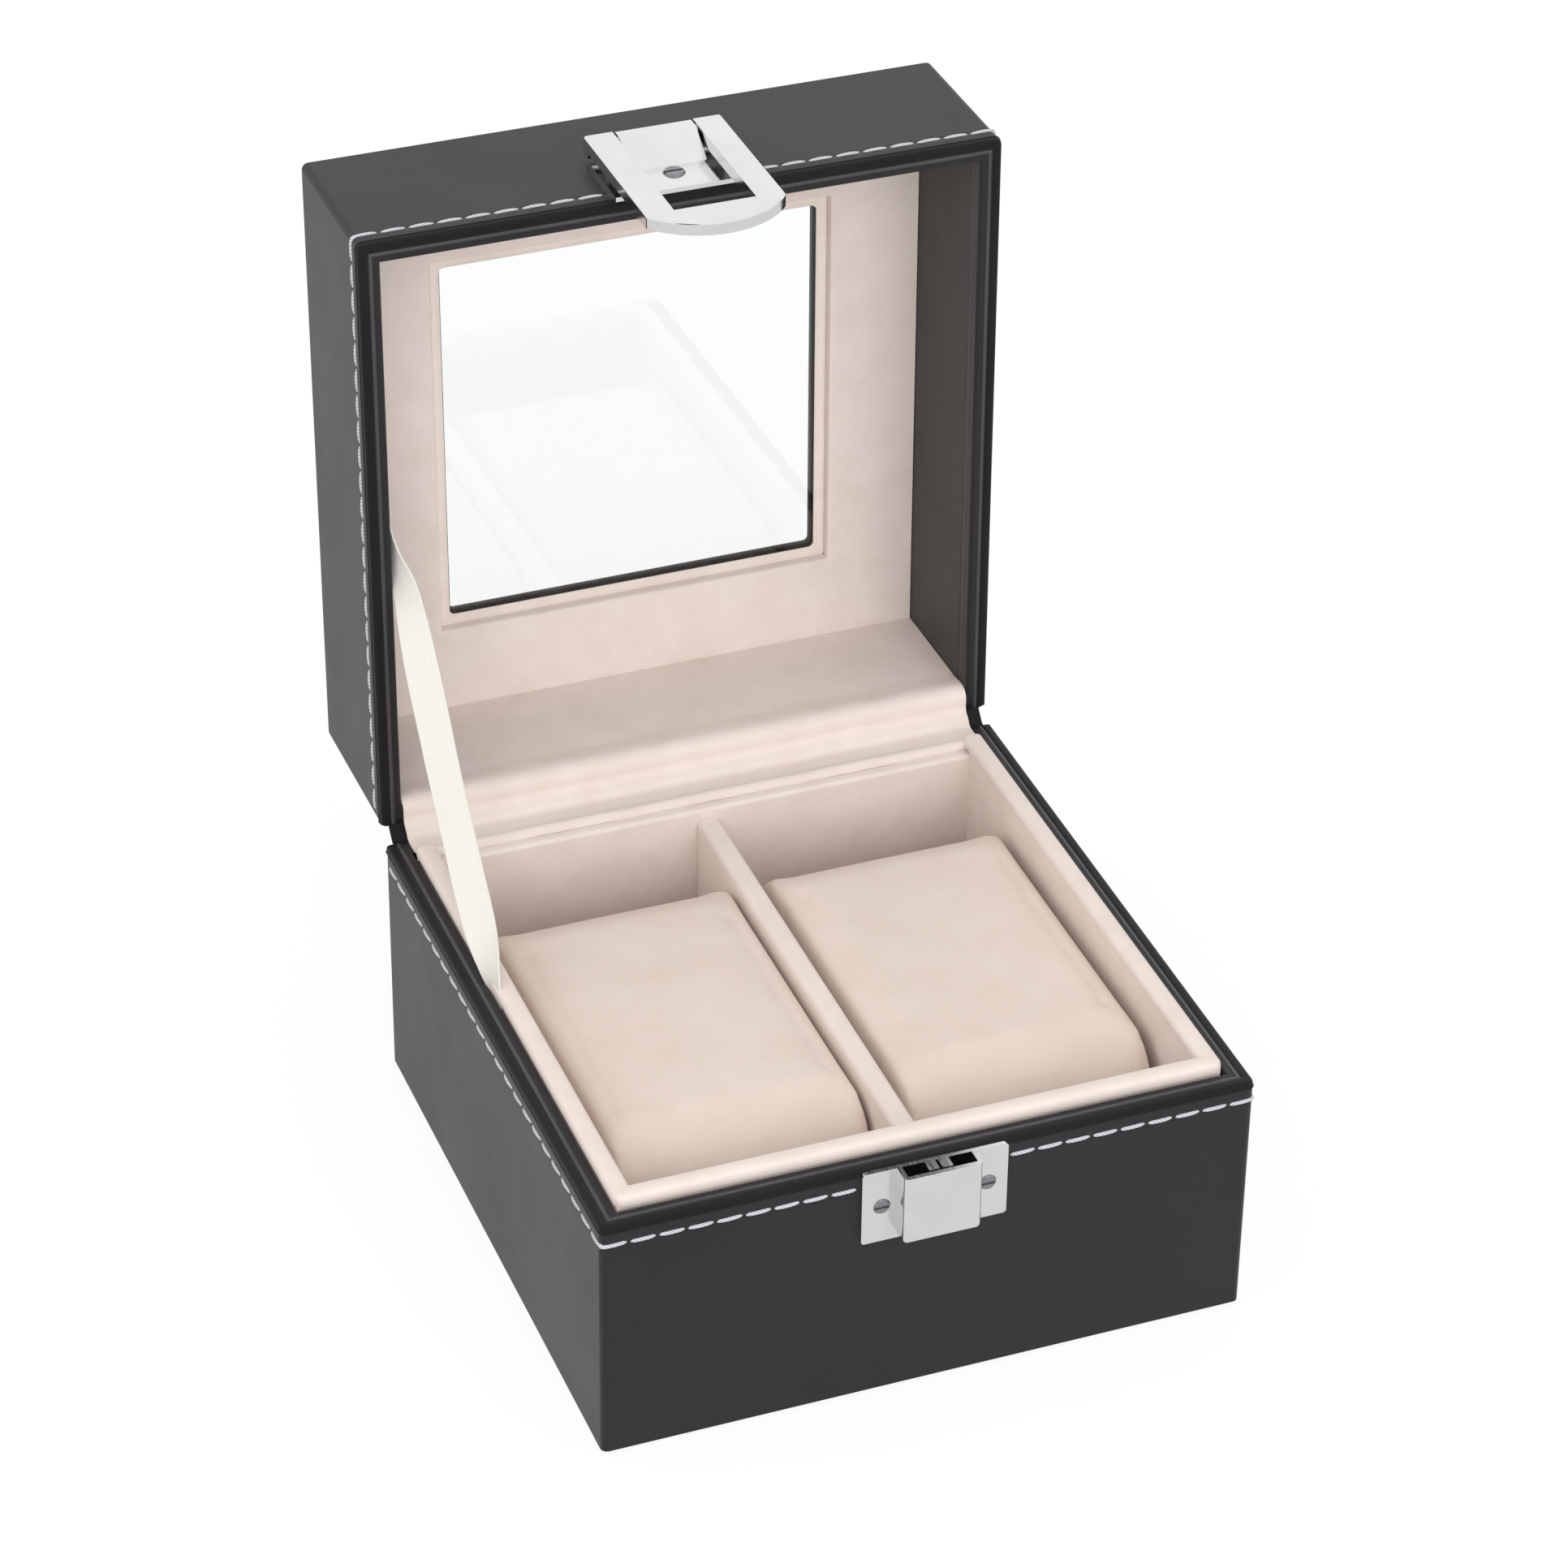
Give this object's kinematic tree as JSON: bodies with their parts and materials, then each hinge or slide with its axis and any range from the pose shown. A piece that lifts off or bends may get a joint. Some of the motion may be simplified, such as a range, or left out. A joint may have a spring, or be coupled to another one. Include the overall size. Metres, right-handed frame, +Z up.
{
  "type": "watch display case",
  "caption": "Square leatherette box for watches: a windowed lid on butt hinges with a hasp and ribbon stay, over a velvet tray with removable pillows.",
  "frame": {"origin": "centre of the felt pad's underside, where the base stands", "axes": "+X to the right, +Y to the back where the lid is hinged, +Z up"},
  "size_m": [0.112, 0.1521, 0.1648],
  "materials": {
    "leatherette": "fine grained black leatherette",
    "board": "raw fibreboard",
    "velvet": "short cream velvet",
    "pillow_velvet": "short cream velvet",
    "glass": "clear float glass",
    "nickel": "polished nickel plate",
    "ribbon": "off-white woven ribbon",
    "felt": "black felt"
  },
  "bodies": {
    "base": {"base_pad": "felt", "base_wrap": "leatherette", "base_bottom_board": "board", "base_front_board": "board", "base_back_board": "board", "base_left_board": "board", "base_right_board": "board", "tray_floor": "velvet", "tray_front_wall": "velvet", "tray_back_wall": "velvet", "tray_left_wall": "velvet", "tray_right_wall": "velvet", "tray_divider": "velvet", "hinge_lining": "velvet", "stay_ribbon": "ribbon", "left_hinge_base_leaf": "nickel", "left_hinge_pin": "nickel", "right_hinge_base_leaf": "nickel", "right_hinge_pin": "nickel", "hinge_base_screws": "nickel", "catch_plate": "nickel", "catch_screws": "nickel", "catch_shield": "nickel", "catch_post": "nickel"},
    "lid": {"lid_wrap": "leatherette", "lid_front_board": "board", "lid_back_board": "board", "lid_left_board": "board", "lid_right_board": "board", "lid_top_board": "board", "window_mat": "velvet", "glass_pane": "glass", "lid_back_lining": "velvet", "left_hinge_lid_leaf": "nickel", "right_hinge_lid_leaf": "nickel", "hinge_lid_screws": "nickel", "hasp_plate": "nickel", "hasp_screw": "nickel"},
    "hasp_flap": {"hasp_flap": "nickel"},
    "left_pillow": {"left_pillow": "pillow_velvet"},
    "right_pillow": {"right_pillow": "pillow_velvet"}
  },
  "joints": [
    {"name": "lid_hinge", "type": "hinge", "parent": "base", "child": "lid", "pos_m": [0, 0.0578, 0.04615], "axis": [-1, 0, 0], "range_deg": [-91, 0], "deforming": ["stay_ribbon", "hinge_lining"]},
    {"name": "hasp_flap_swing", "type": "hinge", "parent": "lid", "child": "hasp_flap", "pos_m": [0, 0.07527, 0.16191], "axis": [-1, 0, 0], "range_deg": [0, 100]},
    {"name": "left_pillow_lift", "type": "slide", "parent": "base", "child": "left_pillow", "axis": [0, 0, 1], "range_m": [0, 0.028]},
    {"name": "right_pillow_lift", "type": "slide", "parent": "base", "child": "right_pillow", "axis": [0, 0, 1], "range_m": [0, 0.028]}
  ]
}
